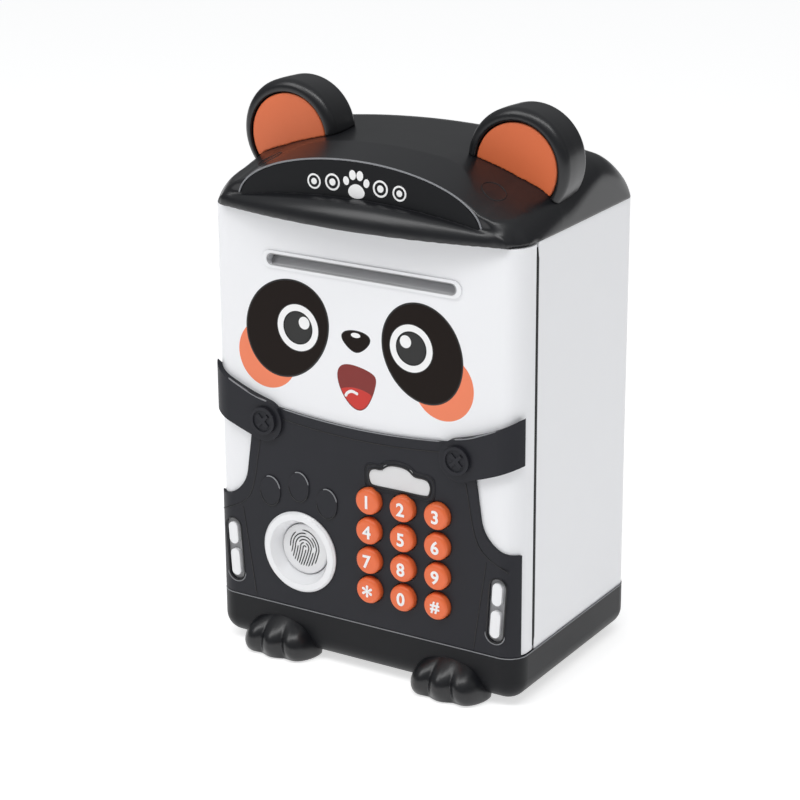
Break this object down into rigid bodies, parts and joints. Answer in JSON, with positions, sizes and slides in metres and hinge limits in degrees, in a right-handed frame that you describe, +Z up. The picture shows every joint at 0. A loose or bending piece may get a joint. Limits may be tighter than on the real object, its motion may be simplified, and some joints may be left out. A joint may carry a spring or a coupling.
{
  "type": "toy cash bank",
  "caption": "Animal-faced toy cash bank: a money box with ears and feet and a hinged front door with bill slot, roller feed, keypad, finger pad and driven bolt.",
  "frame": {"origin": "middle of the object's box, on the floor it stands on", "axes": "+Z up, -Y out of the front door, +X to the right seen from the front"},
  "size_m": [0.145, 0.105, 0.23],
  "materials": {
    "black_plastic": "satin gloss, moulded",
    "charcoal_plastic": "satin",
    "white_plastic": "gloss, moulded",
    "orange_plastic": "gloss, moulded",
    "translucent_white": "satin, lets light through",
    "grey_pad": "satin",
    "inner_plastic": "satin",
    "roller_rubber": "matte",
    "nylon": "satin",
    "steel": "zinc plated",
    "foot_rubber": "matte",
    "key_rubber": "matte",
    "circuit_board": "solder mask",
    "speaker_black": "satin",
    "cell_sleeve": "printed sleeve"
  },
  "bodies": {
    "housing": {"base_tray": "black_plastic", "left_paw": "black_plastic", "right_paw": "black_plastic", "chamber_floor": "white_plastic", "rear_housing": "white_plastic", "head_shell": "black_plastic", "left_ear": "black_plastic", "right_ear": "black_plastic", "left_ear_pad": "orange_plastic", "right_ear_pad": "orange_plastic", "brow_plate": "charcoal_plastic", "head_plugs": "black_plastic", "coin_chute": "white_plastic", "battery_box": "inner_plastic", "batteries": "cell_sleeve", "battery_contacts": "steel", "battery_cover": "black_plastic", "battery_cover_screw": "steel", "base_screws": "steel", "head_screws": "steel", "hinge_pins": "steel", "rubber_feet": "foot_rubber", "latch_strike": "inner_plastic"},
    "door": {"door_shell": "white_plastic", "bib_panel": "charcoal_plastic", "left_strap_button": "charcoal_plastic", "right_strap_button": "charcoal_plastic", "slot_bezel": "white_plastic", "light_window": "translucent_white", "left_side_light": "translucent_white", "right_side_light": "translucent_white", "sensor_bowl": "translucent_white", "key_membrane": "key_rubber", "main_board": "circuit_board", "bill_guide": "inner_plastic", "feed_motor": "steel", "speaker": "speaker_black", "door_back_cover": "inner_plastic", "door_screws": "steel", "lock_solenoid": "steel"},
    "key_1": {"key_1": "orange_plastic"},
    "key_2": {"key_2": "orange_plastic"},
    "key_3": {"key_3": "orange_plastic"},
    "key_4": {"key_4": "orange_plastic"},
    "key_5": {"key_5": "orange_plastic"},
    "key_6": {"key_6": "orange_plastic"},
    "key_7": {"key_7": "orange_plastic"},
    "key_8": {"key_8": "orange_plastic"},
    "key_9": {"key_9": "orange_plastic"},
    "key_star": {"key_star": "orange_plastic"},
    "key_0": {"key_0": "orange_plastic"},
    "key_hash": {"key_hash": "orange_plastic"},
    "finger_pad": {"finger_pad": "grey_pad"},
    "feed_roller": {"feed_roller": "roller_rubber"},
    "idler_roller": {"idler_roller": "roller_rubber"},
    "motor_gear": {"motor_gear": "nylon"},
    "latch_bolt": {"latch_bolt": "nylon"}
  },
  "joints": [
    {"name": "door_hinge", "type": "hinge", "parent": "housing", "child": "door", "pos_m": [0.0672, -0.0313, 0.1], "axis": [0, 0, 1], "range_deg": [0, 100]},
    {"name": "key_1_press", "type": "slide", "parent": "door", "child": "key_1", "axis": [0, 1, 0], "range_m": [0, 0.0014], "stiffness_N_per_m": 500, "springref_m": -0.001},
    {"name": "key_2_press", "type": "slide", "parent": "door", "child": "key_2", "axis": [0, 1, 0], "range_m": [0, 0.0014], "stiffness_N_per_m": 500, "springref_m": -0.001},
    {"name": "key_3_press", "type": "slide", "parent": "door", "child": "key_3", "axis": [0, 1, 0], "range_m": [0, 0.0014], "stiffness_N_per_m": 500, "springref_m": -0.001},
    {"name": "key_4_press", "type": "slide", "parent": "door", "child": "key_4", "axis": [0, 1, 0], "range_m": [0, 0.0014], "stiffness_N_per_m": 500, "springref_m": -0.001},
    {"name": "key_5_press", "type": "slide", "parent": "door", "child": "key_5", "axis": [0, 1, 0], "range_m": [0, 0.0014], "stiffness_N_per_m": 500, "springref_m": -0.001},
    {"name": "key_6_press", "type": "slide", "parent": "door", "child": "key_6", "axis": [0, 1, 0], "range_m": [0, 0.0014], "stiffness_N_per_m": 500, "springref_m": -0.001},
    {"name": "key_7_press", "type": "slide", "parent": "door", "child": "key_7", "axis": [0, 1, 0], "range_m": [0, 0.0014], "stiffness_N_per_m": 500, "springref_m": -0.001},
    {"name": "key_8_press", "type": "slide", "parent": "door", "child": "key_8", "axis": [0, 1, 0], "range_m": [0, 0.0014], "stiffness_N_per_m": 500, "springref_m": -0.001},
    {"name": "key_9_press", "type": "slide", "parent": "door", "child": "key_9", "axis": [0, 1, 0], "range_m": [0, 0.0014], "stiffness_N_per_m": 500, "springref_m": -0.001},
    {"name": "key_star_press", "type": "slide", "parent": "door", "child": "key_star", "axis": [0, 1, 0], "range_m": [0, 0.0014], "stiffness_N_per_m": 500, "springref_m": -0.001},
    {"name": "key_0_press", "type": "slide", "parent": "door", "child": "key_0", "axis": [0, 1, 0], "range_m": [0, 0.0014], "stiffness_N_per_m": 500, "springref_m": -0.001},
    {"name": "key_hash_press", "type": "slide", "parent": "door", "child": "key_hash", "axis": [0, 1, 0], "range_m": [0, 0.0014], "stiffness_N_per_m": 500, "springref_m": -0.001},
    {"name": "finger_pad_press", "type": "slide", "parent": "door", "child": "finger_pad", "axis": [0, 1, 0], "range_m": [0, 0.001], "stiffness_N_per_m": 500, "springref_m": -0.001},
    {"name": "feed_roller_spin", "type": "hinge", "parent": "door", "child": "feed_roller", "pos_m": [0, -0.031, 0.16185], "axis": [1, 0, 0], "continuous": true},
    {"name": "idler_roller_spin", "type": "hinge", "parent": "door", "child": "idler_roller", "pos_m": [0, -0.031, 0.17035], "axis": [1, 0, 0], "continuous": true},
    {"name": "motor_gear_spin", "type": "hinge", "parent": "door", "child": "motor_gear", "pos_m": [0, -0.031, 0.1516], "axis": [1, 0, 0], "continuous": true},
    {"name": "latch_bolt_slide", "type": "slide", "parent": "door", "child": "latch_bolt", "axis": [-1, 0, 0], "range_m": [0, 0.0042]}
  ],
  "couplings": [
    {"joint": "idler_roller_spin", "follows": "feed_roller_spin", "ratio": -1},
    {"joint": "motor_gear_spin", "follows": "feed_roller_spin", "ratio": -0.70833}
  ]
}
